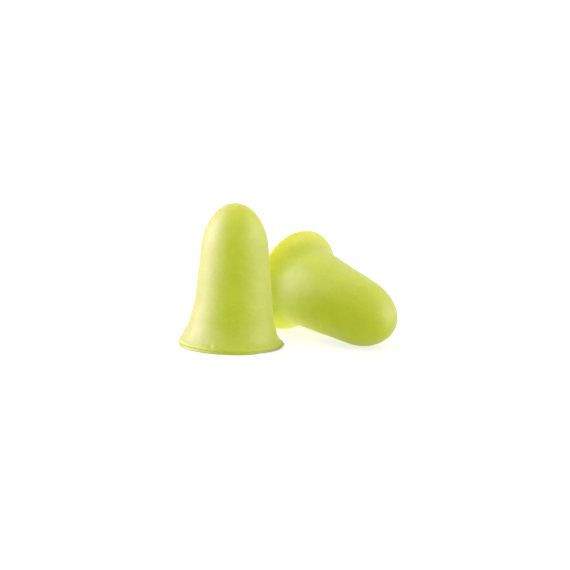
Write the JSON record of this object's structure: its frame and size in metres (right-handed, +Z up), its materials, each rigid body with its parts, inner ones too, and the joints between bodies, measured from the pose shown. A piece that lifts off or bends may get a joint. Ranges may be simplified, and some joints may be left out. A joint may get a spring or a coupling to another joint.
{
  "type": "foam ear plugs",
  "caption": "Loose pair of bell-shaped foam ear plugs with rounded tips, tapered barrels and flared flat bases, pushed into the ears to block noise.",
  "frame": {"origin": "centre of the standing plug's flat base, on the surface that both plugs rest on", "axes": "+Z up along the standing plug's axis, towards its tip; +X to the right and +Y away from the viewer as pictured"},
  "size_m": [0.0377, 0.0313, 0.025],
  "materials": {
    "foam": "matt slow-recovery polyurethane foam with a smooth moulded skin, pale yellow-green"
  },
  "bodies": {
    "standing": {"standing_plug": "foam"},
    "lying": {"lying_plug": "foam"}
  },
  "joints": [
    {"name": "lying_plug_lift", "type": "slide", "parent": "standing", "child": "lying", "axis": [0, 0, 1], "range_m": [0, 0.04]}
  ]
}
